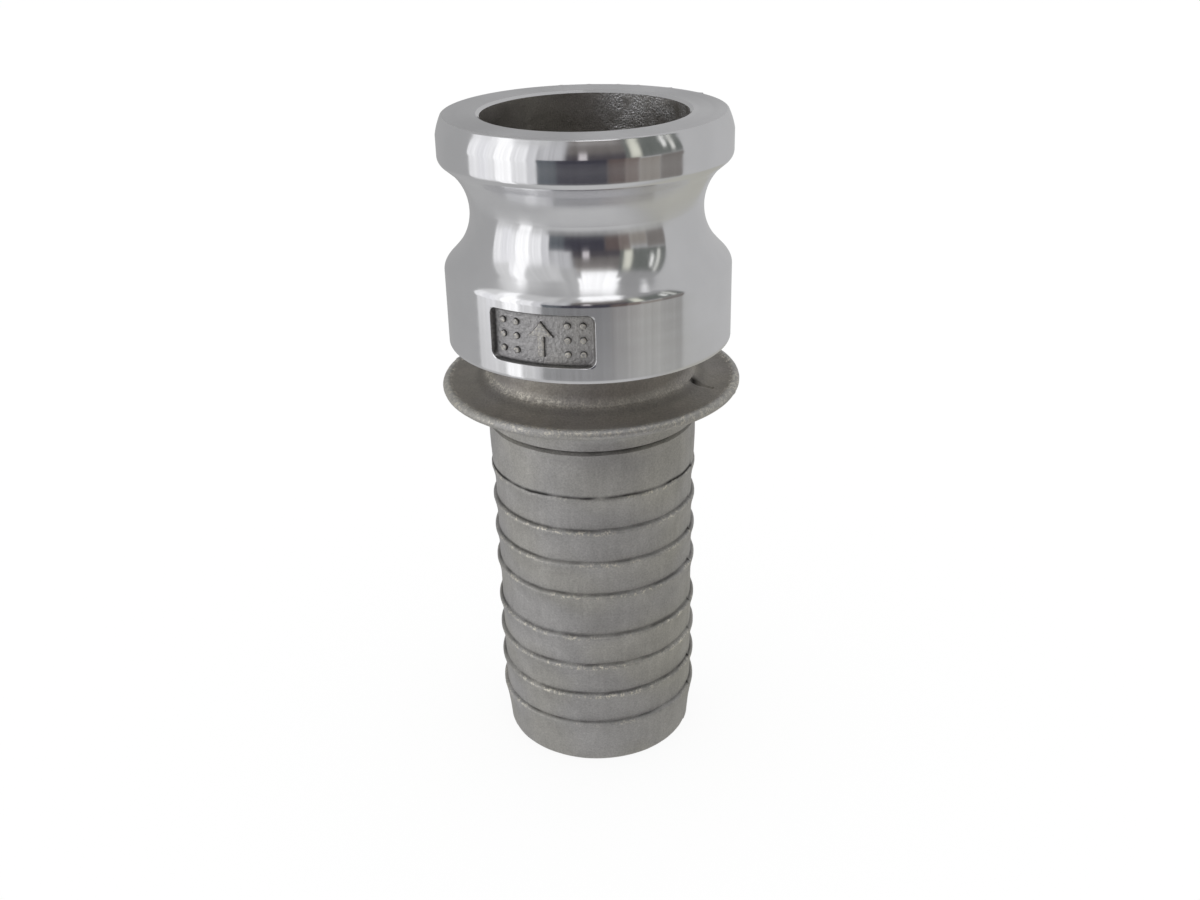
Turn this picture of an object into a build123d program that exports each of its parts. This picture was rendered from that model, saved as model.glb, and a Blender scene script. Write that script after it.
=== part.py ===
"""Male cam-and-groove adapter with a hose shank, 1 1/2 inch, one gravity die casting.

The casting is drawn as the zones that a founder and a turner would name. Each zone is a solid
of its own, and neighbouring zones meet face to face on a flat ring. The origin is the centre of
the shank's open end, +Z runs up the flow path to the sealing face, and the raised flow mark
faces -Y. The two die halves part on the XZ plane.
"""

import os
from math import asin, atan2, cos, hypot, radians, sin, tan

from build123d import *

# Cam head, turned all over, mm and degrees
cam_radius = 26.7
lip_height = 6.6
lead_in_height = 3.3
lead_in_drop = 1.3
lead_in_bulge = 0.28
mouth_chamfer = 0.45
lip_edge_radius = 1.6
groove_depth = 5.27
groove_radius = 11.0
flank_angle = 43.5
shoulder_taper_height = 1.7
shoulder_taper_drop = 0.22
band_height = 13.25
band_edge_chamfer = 0.2
waist_wall = 2.63

# Pocket in the band, as cast, with the raised flow mark on its floor
pocket_width = 19.8
pocket_depth = 1.15
pocket_corner_radius = 1.5
pocket_draft = 18.0
pocket_foot_margin = 2.95
pocket_top_margin = 0.8
mark_relief = 0.5
mark_margin = 1.5
arrow_head_width = 4.6
arrow_head_length = 2.8
arrow_shaft_width = 1.3
pip_radius = 0.65
pip_rows = 3
pip_side_margin = 2.5
pip_column_pitch = 2.7

# Neck between the head and the collar, as cast
neck_wall = 2.75
neck_length = 7.1
neck_foot_radius = 0.85
bore_step_height = 3.0
bore_step_above_neck = 1.5

# Crimp collar, a shallow dish with a rounded rim
collar_rim_radius = 28.6
collar_height = 9.25
rim_bead_radius = 0.95
rim_bead_wrap = 115
rim_height = 7.25
dish_sink = 0.9
hub_step = 0.25
hub_height = 3.5
hub_fillet_radius = 2.4
root_groove_depth = 0.55
root_groove_rise = 0.8

# Hose shank with two groups of hose barbs
barb_crest_radius = 20.2
barb_depth = 0.7
shank_wall = 2.9
barb_ledge_height = 0.45
barb_crest_land = 0.4
barb_fall_length = 3.7
barb_fall_drop = 0.6
barb_fall_sag = 0.1
lower_barb_count = 4
lower_barb_pitch = 6.85
upper_barb_count = 4
upper_barb_pitch = 7.05
barb_group_gap = 9.35
seat_length = 9.65
seat_foot_drop = 0.25
seat_taper_length = 5.4

# Nose of the shank, the end that enters the hose first
nose_length = 9.7
nose_end_drop = 1.15
nose_edge_radius = 0.8
nose_taper_sag = 0.18

# Radii that follow from the sizes above
waist_radius = cam_radius - groove_depth
head_bore_radius = waist_radius - waist_wall
barb_valley_radius = barb_crest_radius - barb_depth
shank_bore_radius = barb_valley_radius - shank_wall
neck_radius = shank_bore_radius + neck_wall
shoulder_radius = cam_radius - shoulder_taper_drop
pocket_floor_radius = cam_radius - pocket_depth

# Heights of the flat rings where the zones meet, from the shank's open end
lower_crests = [nose_length + i * lower_barb_pitch for i in range(lower_barb_count)]
first_upper_crest = lower_crests[-1] + barb_group_gap
upper_crests = [first_upper_crest + i * upper_barb_pitch for i in range(upper_barb_count)]
crests = lower_crests + upper_crests
nose_top = nose_length + barb_ledge_height
shank_top = crests[-1] + seat_length
collar_top = shank_top + collar_height
neck_top = collar_top + neck_length
band_top = neck_top + band_height

# The groove is an arc round the waist with a straight flank above and below it
arc_half_height = groove_radius * sin(radians(flank_angle))
arc_end_radius = waist_radius + groove_radius * (1 - cos(radians(flank_angle)))
flank_slope = tan(radians(flank_angle))
lower_flank_height = (shoulder_radius - arc_end_radius) / flank_slope
upper_flank_height = (cam_radius - arc_end_radius) / flank_slope
lip_edge_setback = lip_edge_radius * tan(radians(flank_angle / 2))
shoulder_top = band_top + shoulder_taper_height
waist_height = shoulder_top + lower_flank_height + arc_half_height
lip_corner = waist_height + arc_half_height + upper_flank_height
lip_foot = lip_corner + lip_edge_setback
head_top = lip_foot + lip_height

# The bore narrows from the head's to the shank's inside the band
bore_step_foot = neck_top + bore_step_above_neck
bore_step_top = bore_step_foot + bore_step_height

# The pocket and its mark follow the band's height
pocket_height = band_height - pocket_foot_margin - pocket_top_margin
pocket_centre = neck_top + pocket_foot_margin + pocket_height / 2
arrow_length = pocket_height - 2 * mark_margin
pip_row_pitch = (arrow_length - 2 * pip_radius) / (pip_rows - 1)
outer_pip_column = pocket_width / 2 - pip_side_margin
pip_columns = (outer_pip_column - pip_column_pitch, outer_pip_column)


def bulged(start, end, bulge):
    """The arc between two (radius, height) points; a positive bulge swells away from the axis
    on a line walked upwards."""
    run, rise = end[0] - start[0], end[1] - start[1]
    chord = hypot(run, rise)
    middle = (
        (start[0] + end[0]) / 2 + bulge * rise / chord,
        (start[1] + end[1]) / 2 - bulge * run / chord,
    )
    return ThreePointArc(start, middle, end)


def ring(outer_edges, bore_points):
    """A zone: its outer line, walked upwards, and its bore's points, walked downwards, turned
    about the Z axis."""
    start = outer_edges[0] @ 0
    end = outer_edges[-1] @ 1
    wall = Polyline(end, *bore_points, start)
    section = make_face([*outer_edges, *wall.edges()])
    return revolve(Plane.XZ * section, Axis.Z)


def barb_fall(crest):
    """The gentle fall below a barb's crest, walked upwards, and the crest's narrow land."""
    fall_foot = (barb_crest_radius - barb_fall_drop, crest - barb_fall_length)
    land_foot = (barb_crest_radius, crest - barb_crest_land)
    return [
        bulged(fall_foot, land_foot, -barb_fall_sag),
        Line(land_foot, (barb_crest_radius, crest)),
    ]


def shank_nose():
    """The tapered end of the shank, up to the top of its first barb's ledge."""
    end_radius = barb_crest_radius - nose_end_drop
    edge_foot = (end_radius - nose_edge_radius, 0)
    edge_top = (end_radius, nose_edge_radius)
    land_foot = (barb_crest_radius, nose_length - barb_crest_land)
    edge_bulge = nose_edge_radius * (1 - cos(radians(45)))
    outer = [
        bulged(edge_foot, edge_top, edge_bulge),
        bulged(edge_top, land_foot, -nose_taper_sag),
        Line(land_foot, (barb_crest_radius, nose_length)),
        Line((barb_crest_radius, nose_length), (barb_valley_radius, nose_top)),
    ]
    return ring(outer, [(shank_bore_radius, nose_top), (shank_bore_radius, 0)])


def hose_shank():
    """The barbed shank, from the nose up to the root groove under the collar."""
    outer = []
    foot = (barb_valley_radius, nose_top)
    for crest in crests[1:]:
        fall = barb_fall(crest)
        outer.append(Line(foot, fall[0] @ 0))
        outer.extend(fall)
        is_last = crest == crests[-1]
        ledge_radius = barb_crest_radius - seat_foot_drop if is_last else barb_valley_radius
        foot = (ledge_radius, crest + barb_ledge_height)
        outer.append(Line((barb_crest_radius, crest), foot))
    seat_full = (barb_crest_radius, foot[1] + seat_taper_length)
    seat_edge = (barb_crest_radius, shank_top - root_groove_depth)
    root = (barb_crest_radius - root_groove_depth, shank_top)
    outer.extend([Line(foot, seat_full), Line(seat_full, seat_edge), Line(seat_edge, root)])
    return ring(outer, [(shank_bore_radius, shank_top), (shank_bore_radius, nose_top)])


def crimp_collar():
    """The dished collar that the crimped ferrule locks on, from its hub to its rounded rim."""
    hub_radius = barb_crest_radius + hub_step
    hub_foot = (hub_radius, shank_top + root_groove_rise)
    corner = (hub_radius, shank_top + hub_height)
    bead = (collar_rim_radius - rim_bead_radius, shank_top + rim_height)
    reach = hypot(bead[0] - corner[0], bead[1] - corner[1])
    under_angle = atan2(bead[1] - corner[1], bead[0] - corner[0]) - asin(rim_bead_radius / reach)
    turn = radians(90) - under_angle
    setback = hub_fillet_radius * tan(turn / 2)
    fillet_foot = (hub_radius, corner[1] - setback)
    fillet_top = (
        corner[0] + setback * cos(under_angle),
        corner[1] + setback * sin(under_angle),
    )
    bead_foot = (
        bead[0] + rim_bead_radius * sin(under_angle),
        bead[1] - rim_bead_radius * cos(under_angle),
    )
    bead_side = (bead[0] + rim_bead_radius, bead[1])
    bead_top = (
        bead[0] + rim_bead_radius * cos(radians(rim_bead_wrap)),
        bead[1] + rim_bead_radius * sin(radians(rim_bead_wrap)),
    )
    neck_foot = (neck_radius + neck_foot_radius, collar_top)
    outer = [
        Line((barb_crest_radius - root_groove_depth, shank_top), hub_foot),
        Line(hub_foot, fillet_foot),
        bulged(fillet_foot, fillet_top, -hub_fillet_radius * (1 - cos(turn / 2))),
        Line(fillet_top, bead_foot),
        ThreePointArc(bead_foot, bead_side, bead_top),
        bulged(bead_top, neck_foot, -dish_sink),
    ]
    return ring(outer, [(shank_bore_radius, collar_top), (shank_bore_radius, shank_top)])


def ferrule_neck():
    """The plain neck between the collar and the head, with a rounded foot in the dish."""
    foot = (neck_radius + neck_foot_radius, collar_top)
    foot_top = (neck_radius, collar_top + neck_foot_radius)
    foot_bulge = neck_foot_radius * (1 - cos(radians(45)))
    outer = [bulged(foot, foot_top, -foot_bulge), Line(foot_top, (neck_radius, neck_top))]
    return ring(outer, [(shank_bore_radius, neck_top), (shank_bore_radius, collar_top)])


def pocket_cutter():
    """The tapered block that sinks the marking pocket down to a floor round the axis."""
    outside = Plane.XZ.offset(cam_radius)
    outline = RectangleRounded(pocket_width, pocket_height, pocket_corner_radius)
    sink = cam_radius - pocket_floor_radius * cos(asin(pocket_width / 2 / pocket_floor_radius))
    block = extrude(outside * Pos(0, pocket_centre) * outline, -sink, taper=pocket_draft)
    core = Pos(0, 0, pocket_centre) * Cylinder(pocket_floor_radius, 2 * band_height)
    return block - core


def body_band():
    """The plain turned band under the cam groove, with the marking pocket in its face."""
    outer = [
        Line((cam_radius - band_edge_chamfer, neck_top), (cam_radius, neck_top + band_edge_chamfer)),
        Line((cam_radius, neck_top + band_edge_chamfer), (cam_radius, band_top)),
    ]
    bore = [
        (head_bore_radius, band_top),
        (head_bore_radius, bore_step_top),
        (shank_bore_radius, bore_step_foot),
        (shank_bore_radius, neck_top),
    ]
    return ring(outer, bore) - pocket_cutter()


def flow_mark():
    """The raised arrow up the flow path and the rows of pips beside it, on the pocket's floor."""
    half_shaft = arrow_shaft_width / 2
    neck = arrow_length / 2 - arrow_head_length
    arrow = Polygon(
        (half_shaft, -arrow_length / 2),
        (half_shaft, neck),
        (arrow_head_width / 2, neck),
        (0, arrow_length / 2),
        (-arrow_head_width / 2, neck),
        (-half_shaft, neck),
        (-half_shaft, -arrow_length / 2),
        align=None,
    )
    marks = [arrow]
    for column in pip_columns:
        for row in range(pip_rows):
            rise = (row - (pip_rows - 1) / 2) * pip_row_pitch
            marks.append(Pos(column, rise) * Circle(pip_radius))
            marks.append(Pos(-column, rise) * Circle(pip_radius))
    place = Plane.XZ * Pos(0, pocket_centre)
    skin = Cylinder(pocket_floor_radius + mark_relief, pocket_height)
    skin -= Cylinder(pocket_floor_radius, pocket_height)
    skin = Pos(0, 0, pocket_centre) * skin
    return Compound([extrude(place * mark, cam_radius) & skin for mark in marks])


def cam_groove():
    """The waisted groove that the coupler's cam arms pull on, turned."""
    below = (arc_end_radius, waist_height - arc_half_height)
    above = (arc_end_radius, waist_height + arc_half_height)
    flank_end = (
        cam_radius - lip_edge_setback * sin(radians(flank_angle)),
        lip_corner - lip_edge_setback * cos(radians(flank_angle)),
    )
    lip_edge_bulge = lip_edge_radius * (1 - cos(radians(flank_angle / 2)))
    outer = [
        Line((cam_radius, band_top), (shoulder_radius, shoulder_top)),
        Line((shoulder_radius, shoulder_top), below),
        ThreePointArc(below, (waist_radius, waist_height), above),
        Line(above, flank_end),
        bulged(flank_end, (cam_radius, lip_foot), lip_edge_bulge),
    ]
    return ring(outer, [(head_bore_radius, lip_foot), (head_bore_radius, band_top)])


def cam_lip():
    """The lip over the groove, with its rounded lead-in, sealing face and bore mouth."""
    lead_foot = (cam_radius, head_top - lead_in_height)
    lead_top = (cam_radius - lead_in_drop, head_top)
    outer = [
        Line((cam_radius, lip_foot), lead_foot),
        bulged(lead_foot, lead_top, lead_in_bulge),
    ]
    bore = [
        (head_bore_radius + mouth_chamfer, head_top),
        (head_bore_radius, head_top - mouth_chamfer),
        (head_bore_radius, lip_foot),
    ]
    return ring(outer, bore)


ZONES = {
    "cam_lip": cam_lip,
    "cam_groove": cam_groove,
    "body_band": body_band,
    "flow_mark": flow_mark,
    "ferrule_neck": ferrule_neck,
    "crimp_collar": crimp_collar,
    "hose_shank": hose_shank,
    "shank_nose": shank_nose,
}


if __name__ == "__main__":
    os.makedirs("parts", exist_ok=True)
    for node, build_zone in ZONES.items():
        zone = build_zone()
        zone.label = node
        export_step(zone, f"parts/{node}.step")
    print("height", round(head_top, 2), "head bore", round(head_bore_radius, 2))
    print("shank bore", round(shank_bore_radius, 2), "waist height", round(waist_height, 2))
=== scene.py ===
"""Male camlock adapter with a hose shank: the finished look of one aluminium gravity die casting.

Each zone of the casting is lathed as a fine mesh on the frame of its CAD zone. Azimuths are
measured round +Z from -Y, where the raised flow mark faces, towards +X, where the die halves part.
"""

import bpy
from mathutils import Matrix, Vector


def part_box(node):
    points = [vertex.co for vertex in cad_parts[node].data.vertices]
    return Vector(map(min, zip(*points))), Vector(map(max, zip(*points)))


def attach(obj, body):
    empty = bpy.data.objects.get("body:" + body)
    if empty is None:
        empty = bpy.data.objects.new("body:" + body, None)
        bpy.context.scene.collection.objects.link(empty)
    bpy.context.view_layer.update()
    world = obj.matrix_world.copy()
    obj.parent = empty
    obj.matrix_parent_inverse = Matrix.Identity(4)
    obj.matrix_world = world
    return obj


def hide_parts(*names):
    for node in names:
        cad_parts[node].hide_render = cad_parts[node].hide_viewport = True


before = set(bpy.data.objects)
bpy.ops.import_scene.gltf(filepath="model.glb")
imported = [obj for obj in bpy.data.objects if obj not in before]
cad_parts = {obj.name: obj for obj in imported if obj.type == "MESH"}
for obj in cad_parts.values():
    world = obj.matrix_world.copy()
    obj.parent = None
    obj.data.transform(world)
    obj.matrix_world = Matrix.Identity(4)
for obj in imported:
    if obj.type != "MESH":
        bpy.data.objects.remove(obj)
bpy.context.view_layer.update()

import math

import bmesh
import bpy
import numpy as np
from bpy.props import FloatProperty, FloatVectorProperty, PointerProperty
from mathutils import Matrix, Vector, noise

bl_info = {
    "name": "Camlock Hose Adapter",
    "version": (1, 0, 0),
    "blender": (4, 5, 0),
    "location": "View3D > Sidebar > Camlock",
    "description": "Builds a male camlock adapter with a hose shank over its CAD zones",
    "category": "Add Mesh",
}

MM = 0.001
ZONES = (
    "shank_nose",
    "hose_shank",
    "crimp_collar",
    "ferrule_neck",
    "body_band",
    "cam_groove",
    "cam_lip",
)
LOW = {zone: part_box(zone)[0].z for zone in ZONES}
HIGH = {zone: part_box(zone)[1].z for zone in ZONES}
RADIUS = {zone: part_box(zone)[1].x for zone in ZONES}
HEAD_TOP = HIGH["cam_lip"]

# The finishes, each named for its metal and how its surface was made
TURNED = "lathe_turned_aluminium"
UNDERCUT = "lathe_undercut_aluminium"
FACED = "lathe_faced_aluminium"
BLASTED = "shot_blasted_cast_aluminium"
AS_CAST = "as_cast_aluminium"
POCKET_CAST = "pocket_cast_aluminium"
BORE_CAST = "oxidised_cast_bore"

# Columns of the lathed meshes: fine round the pocket, and at the die's parting lines
POCKET_SPAN = 26
PARTING_STEPS = (-0.75, -0.5, -0.25, 0.25, 0.5, 0.75)
COLUMN_DEGREES = sorted(
    set(range(-180, 180))
    | {half / 2 for half in range(-2 * POCKET_SPAN, 2 * POCKET_SPAN + 1)}
    | {side + step for side in (-90, 90) for step in PARTING_STEPS}
)
COLUMNS = np.radians(np.array(COLUMN_DEGREES, float))


# ---------------------------------------------------------------- sizes and colours


def linear(code):
    """Turns an sRGB hex value to a linear colour."""
    channels = [int(code[i : i + 2], 16) / 255 for i in (1, 3, 5)]
    return [c / 12.92 if c <= 0.04045 else ((c + 0.055) / 1.055) ** 2.4 for c in channels]


def length(label, about, metres):
    """A length to be set, in metres."""
    return FloatProperty(name=label, description=about, default=metres, unit="LENGTH", precision=5)


def angle(label, about, degrees):
    """An angle to be set, in degrees."""
    turn = math.radians(degrees)
    return FloatProperty(name=label, description=about, default=turn, unit="ROTATION")


def colour(label, about, code):
    """A colour to be set, from its sRGB hex value."""
    shade = linear(code)
    return FloatVectorProperty(name=label, description=about, default=shade, subtype="COLOR", size=3)


class HeadSizes(bpy.types.PropertyGroup):
    """Sizes of the turned cam head."""

    bore: length("Bore radius", "Radius of the head's bore", 18.8 * MM)
    waist: length("Waist radius", "Radius at the middle of the cam groove", 21.43 * MM)
    waist_height: length("Waist height", "Height of the waist", 111.41 * MM)
    groove: length("Groove radius", "Radius of the arc round the waist", 11.0 * MM)
    flank: angle("Flank angle", "How far the groove's arc turns each way from the waist", 43.5)
    lip_foot: length("Lip foot radius", "Radius that turns the groove's flank into the lip", 1.6 * MM)
    lead_in: length("Lead-in height", "Height of the crowned edge above the lip", 3.3 * MM)
    face_edge: length("Face edge radius", "Outer radius of the sealing face", 25.65 * MM)
    mouth: length("Mouth chamfer", "Chamfer where the bore meets the face", 0.45 * MM)
    pocket_half_angle: angle("Pocket half angle", "Half of the pocket's width round the band", 21.2)
    pocket_low: length("Pocket foot", "Height of the pocket's lower edge", 89.65 * MM)
    pocket_high: length("Pocket top", "Height of the pocket's upper edge", 99.25 * MM)
    pocket_floor: length("Pocket floor", "Radius of the pocket's floor", 25.55 * MM)
    relief: length("Mark relief", "How far the flow mark stands off the floor", 0.5 * MM)


class ShankSizes(bpy.types.PropertyGroup):
    """Sizes of the cast neck, collar and barbed shank."""

    neck: length("Neck radius", "Radius of the plain neck", 19.35 * MM)
    neck_foot: length("Neck foot radius", "Radius where the neck's foot meets the collar", 20.2 * MM)
    bead: length("Collar bead", "Radius of the collar's rounded rim, seen in section", 0.95 * MM)
    root: length("Root depth", "Depth of the groove under the collar", 0.8 * MM)
    bore: length("Bore radius", "Radius of the shank's bore", 16.6 * MM)
    crest: length("Barb radius", "Radius over the barbs' crests", 20.2 * MM)
    valley: length("Valley radius", "Radius between the barbs", 19.5 * MM)
    lower_pitch: length("Lower pitch", "Pitch of the lower four barbs", 6.85 * MM)
    upper_pitch: length("Upper pitch", "Pitch of the upper four barbs", 7.05 * MM)
    upper_start: length("Upper barbs", "Height of the first barb above the plain gap", 39.6 * MM)
    die_offset: length("Die offset", "How far the rear die half's barbs sit low", 0.4 * MM)
    flash: length("Flash", "Height of the witness line where the die halves meet", 0.1 * MM)


class Finishes(bpy.types.PropertyGroup):
    """Colours of the surfaces."""

    turned: colour("Turned aluminium", "Fresh cut metal of the head", "#F3F3F5")
    faced: colour("Faced aluminium", "Sealing face, faced with a coarser feed", "#E8E8EA")
    blasted: colour("Blasted casting", "Shank and collar after shot blasting", "#D8D6D1")
    # The brighter metal mixed in where the mesh paints rubbed edges and painted highlights
    rub_highlight_metal: colour("Scuffed edge", "Bright metal where a cast edge is rubbed", "#F4EFE2")
    as_cast: colour("As-cast skin", "Neck and dish, out of the blast", "#CAC5BD")
    pocket: colour("Pocket skin", "Cast skin on the pocket's floor and the flow mark", "#D2D0CD")
    bore_skin: colour("Bore skin", "Oxidised skin inside the bore", "#C6C2BC")


class StageSettings(bpy.types.PropertyGroup):
    """Floor and camera."""

    floor: colour("Floor", "Pale floor", "#FAFAFA")
    lens: FloatProperty(name="Lens", description="Focal length, mm", default=39.37)
    camera_azimuth: angle("Camera azimuth", "Where it stands round +Z from the flow mark", 19.2)
    camera_distance: length("Camera distance", "Level distance from the axis", 0.23652)
    camera_height: length("Camera height", "Height above the floor", 0.1732)
    camera_pitch: angle("Camera pitch", "How far it looks down", 25.251)
    camera_yaw: angle("Camera yaw", "How far it looks past the axis", 0.336)
    camera_roll: angle("Camera roll", "Tilt of the camera", -1.312)


# ---------------------------------------------------------------- materials


def add(tree, kind, inputs=None, **settings):
    """Adds a node, with its settings and its inputs, which are values or sockets to link."""
    made = tree.nodes.new(kind)
    for key, value in settings.items():
        setattr(made, key, value)
    for key, value in (inputs or {}).items():
        if isinstance(value, bpy.types.NodeSocket):
            tree.links.new(value, made.inputs[key])
        else:
            made.inputs[key].default_value = value
    return made


def blank(name):
    """A new material with an empty tree and an output."""
    material = bpy.data.materials.new(name)
    material.use_nodes = True
    material.node_tree.nodes.clear()
    out = add(material.node_tree, "ShaderNodeOutputMaterial")
    return material, material.node_tree, out


def turned_aluminium(name, metal, roughness, mark_depth, radial_marks=False):
    """Cast aluminium fresh from the lathe: a mirror round the axis, drawn out across the tool
    marks. The real feed of 0.1 mm is too fine to show, so the marks are drawn 0.4 mm apart."""
    feed, haze_band, stain_size = 0.4 * MM, 2.4 * MM, 9 * MM
    material, tree, out = blank(name)
    place = add(tree, "ShaderNodeTexCoord").outputs["Object"]
    if radial_marks:
        level = add(tree, "ShaderNodeVectorMath", {0: place, 1: (1, 1, 0)}, operation="MULTIPLY")
        reach = add(tree, "ShaderNodeVectorMath", {0: level.outputs[0]}, operation="LENGTH")
        across = reach.outputs["Value"]
    else:
        across = add(tree, "ShaderNodeSeparateXYZ", {0: place}).outputs["Z"]
    # The marks run round the axis, so the noise has one dimension, across them
    marks, bands = (
        add(
            tree,
            "ShaderNodeTexNoise",
            {"W": across, "Scale": 1 / apart, "Detail": detail},
            noise_dimensions="1D",
        )
        for apart, detail in ((feed, 2.0), (haze_band, 1.0))
    )
    relief = add(
        tree,
        "ShaderNodeBump",
        {"Strength": 1.0, "Distance": mark_depth, "Height": marks.outputs[0]},
    )
    haze = add(
        tree,
        "ShaderNodeMapRange",
        {
            "Value": bands.outputs[0],
            "From Min": 0.3,
            "From Max": 0.7,
            "To Min": roughness * 0.85,
            "To Max": roughness * 1.2,
        },
    )
    stain = add(
        tree,
        "ShaderNodeTexNoise",
        {"Vector": place, "Scale": 1 / stain_size, "Detail": 3.0},
    )
    clean = add(
        tree,
        "ShaderNodeMapRange",
        {"Value": stain.outputs[0], "From Min": 0.35, "From Max": 0.7, "To Min": 0.95, "To Max": 1.0},
    )
    base = add(
        tree,
        "ShaderNodeVectorMath",
        {0: tuple(metal), "Scale": clean.outputs[0]},
        operation="SCALE",
    )
    around_axis = add(tree, "ShaderNodeTangent", direction_type="RADIAL", axis="Z")
    shader = add(
        tree,
        "ShaderNodeBsdfPrincipled",
        {
            "Base Color": base.outputs[0],
            "Metallic": 1.0,
            "Roughness": haze.outputs[0],
            "Anisotropic": 0.9,
            "Anisotropic Rotation": 0.25,
            "Tangent": around_axis.outputs[0],
            "Normal": relief.outputs[0],
        },
    )
    tree.links.new(shader.outputs[0], out.inputs["Surface"])
    return material


def cast_aluminium(name, skin, rub_highlight_colour, roughness, grain, grain_depth, mottle, calm=1.0):
    """Gravity die cast aluminium: a matt grey skin with fine pits, faint mottling and upright
    streaks from the die's coating, bright grains where the mesh paints rubbed metal with painted
    highlights, and painted shade where the mesh paints it. Blasting grit of 0.2 mm is drawn at
    0.27 mm or more, as coarse as it needs to be to show. calm is the share of the relief that the
    unrubbed skin keeps."""
    cloud_size, streak_size, hue_size = 7 * MM, 1.1 * MM, 16 * MM
    material, tree, out = blank(name)
    place = add(tree, "ShaderNodeTexCoord").outputs["Object"]

    # Bright grains, partly rubbed metal and partly painted highlight, where the mesh's paint lets them
    # through
    rubbed = add(tree, "ShaderNodeAttribute", attribute_name="rub_and_highlight").outputs["Fac"]
    sparks = add(tree, "ShaderNodeTexNoise", {"Vector": place, "Scale": 1 / grain, "Detail": 1.0})
    glints = add(
        tree,
        "ShaderNodeMapRange",
        {"Value": sparks.outputs[0], "From Min": 0.43, "From Max": 0.58, "To Min": 0.15, "To Max": 1.0},
    )
    rub_and_glint = add(tree, "ShaderNodeMath", {0: rubbed, 1: glints.outputs[0]}, operation="MULTIPLY").outputs[0]

    # Pits and grit
    fine = add(
        tree,
        "ShaderNodeTexNoise",
        {"Vector": place, "Scale": 1 / grain, "Detail": 3.0, "Roughness": 0.65},
    )
    pits = add(
        tree,
        "ShaderNodeTexVoronoi",
        {"Vector": place, "Scale": 1 / (1.7 * grain)},
        feature="F1",
    )
    height = add(
        tree,
        "ShaderNodeMath",
        {0: pits.outputs["Distance"], 1: 0.5, 2: fine.outputs[0]},
        operation="MULTIPLY_ADD",
    )
    strength = add(tree, "ShaderNodeMapRange", {"Value": rubbed, "To Min": calm, "To Max": 1.0})
    relief = add(
        tree,
        "ShaderNodeBump",
        {"Strength": strength.outputs[0], "Distance": grain_depth, "Height": height.outputs[0]},
    )

    # Light and dark: clouds, grit, upright streaks and the mesh's painted shade
    clouds = add(
        tree,
        "ShaderNodeTexNoise",
        {"Vector": place, "Scale": 1 / cloud_size, "Detail": 4.0, "Roughness": 0.6},
    )
    cloudy = add(
        tree,
        "ShaderNodeMapRange",
        {"Value": clouds.outputs[0], "From Min": 0.3, "From Max": 0.7, "To Min": 1 - mottle, "To Max": 1.0},
    )
    speckle = add(
        tree,
        "ShaderNodeMapRange",
        {"Value": fine.outputs[0], "From Min": 0.3, "From Max": 0.75, "To Min": 0.82, "To Max": 1.12},
    )
    drawn = add(tree, "ShaderNodeVectorMath", {0: place, 1: (1.0, 1.0, 0.12)}, operation="MULTIPLY")
    brushed = add(
        tree,
        "ShaderNodeTexNoise",
        {"Vector": drawn.outputs[0], "Scale": 1 / streak_size, "Detail": 2.0},
    )
    streaks = add(
        tree,
        "ShaderNodeMapRange",
        {"Value": brushed.outputs[0], "From Min": 0.3, "From Max": 0.7, "To Min": 0.96, "To Max": 1.03},
    )
    painted_shade = add(tree, "ShaderNodeAttribute", attribute_name="painted_shade").outputs["Fac"]
    # Painted shade from the mesh darkens the tone, down to 0.12 of it
    clean = add(tree, "ShaderNodeMapRange", {"Value": painted_shade, "To Min": 1.0, "To Max": 0.12})
    tone = cloudy.outputs[0]
    for share in (speckle, streaks, clean):
        both = add(tree, "ShaderNodeMath", {0: tone, 1: share.outputs[0]}, operation="MULTIPLY")
        tone = both.outputs[0]

    # The skin drifts a little between a warm and a cool grey
    patches = add(
        tree,
        "ShaderNodeTexNoise",
        {"Vector": place, "Scale": 1 / hue_size, "Detail": 1.0},
    )
    cool = add(
        tree,
        "ShaderNodeMapRange",
        {"Value": patches.outputs[0], "From Min": 0.42, "From Max": 0.6},
    )
    warm_grey = (*skin, 1.0)
    cool_grey = (*(min(c * share, 1.0) for c, share in zip(skin, (0.985, 0.99, 1.03))), 1.0)
    hue = add(
        tree,
        "ShaderNodeMix",
        {"Factor": cool.outputs[0], "A": warm_grey, "B": cool_grey},
        data_type="RGBA",
    )
    toned = add(
        tree,
        "ShaderNodeVectorMath",
        {0: hue.outputs["Result"], "Scale": tone},
        operation="SCALE",
    )
    # The brighter metal shows where the mesh paints rubbed metal and painted highlights
    base = add(
        tree,
        "ShaderNodeMix",
        {"Factor": rub_and_glint, "A": toned.outputs[0], "B": (*rub_highlight_colour, 1.0)},
        data_type="RGBA",
    )
    rough = add(
        tree,
        "ShaderNodeMapRange",
        {"Value": rub_and_glint, "To Min": roughness, "To Max": roughness * 0.6},
    )
    shader = add(
        tree,
        "ShaderNodeBsdfPrincipled",
        {
            "Base Color": base.outputs["Result"],
            "Metallic": 1.0,
            "Roughness": rough.outputs[0],
            "Normal": relief.outputs[0],
        },
    )
    tree.links.new(shader.outputs[0], out.inputs["Surface"])
    return material


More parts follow.
